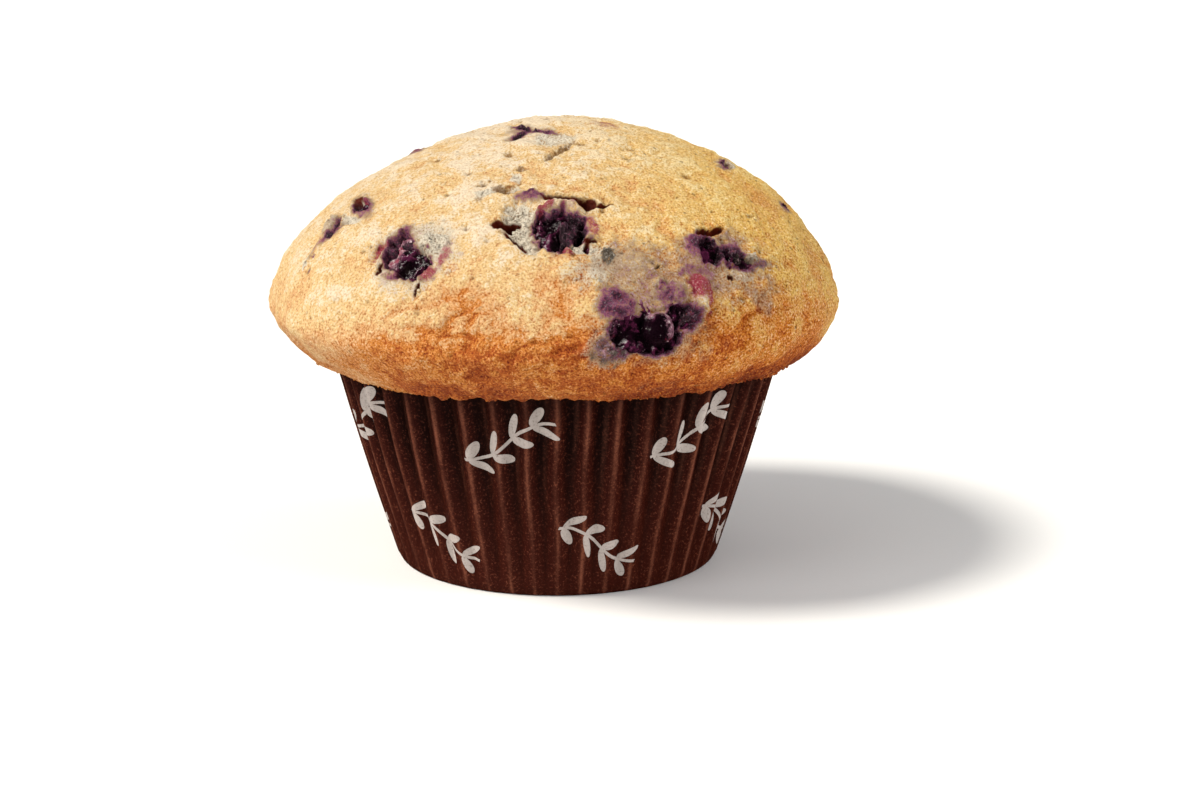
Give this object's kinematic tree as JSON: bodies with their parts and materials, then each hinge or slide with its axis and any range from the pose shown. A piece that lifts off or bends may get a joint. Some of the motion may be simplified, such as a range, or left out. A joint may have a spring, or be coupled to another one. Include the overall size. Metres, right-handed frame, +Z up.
{
  "type": "berry muffin in a paper case",
  "caption": "Large domed muffin with dark berries burst through its golden crust, its crown overhanging a pleated dark brown paper baking case.",
  "frame": {"origin": "middle of the paper case's flat foot", "axes": "+Z up, -Y towards the side with the burst berry under the crown, +X to that side's right"},
  "size_m": [0.0981, 0.0984, 0.0764],
  "materials": {
    "crust": null,
    "case_paper": "dark brown greaseproof paper, pleated, with lighter worn ridges",
    "berry": null
  },
  "bodies": {
    "root": {"cake": "crust", "paper_case": "case_paper", "berry_front_burst": "berry", "berry_front_left": "berry", "berry_front_low": "berry", "berry_front_right": "berry", "berry_left_high": "berry", "berry_left_low": "berry", "berry_top": "berry", "berry_right_high": "berry", "berry_right_low": "berry", "berry_back_right": "berry", "berry_back_burst": "berry", "berry_back_low": "berry", "berry_back_left": "berry", "berry_back_high": "berry"}
  },
  "joints": []
}
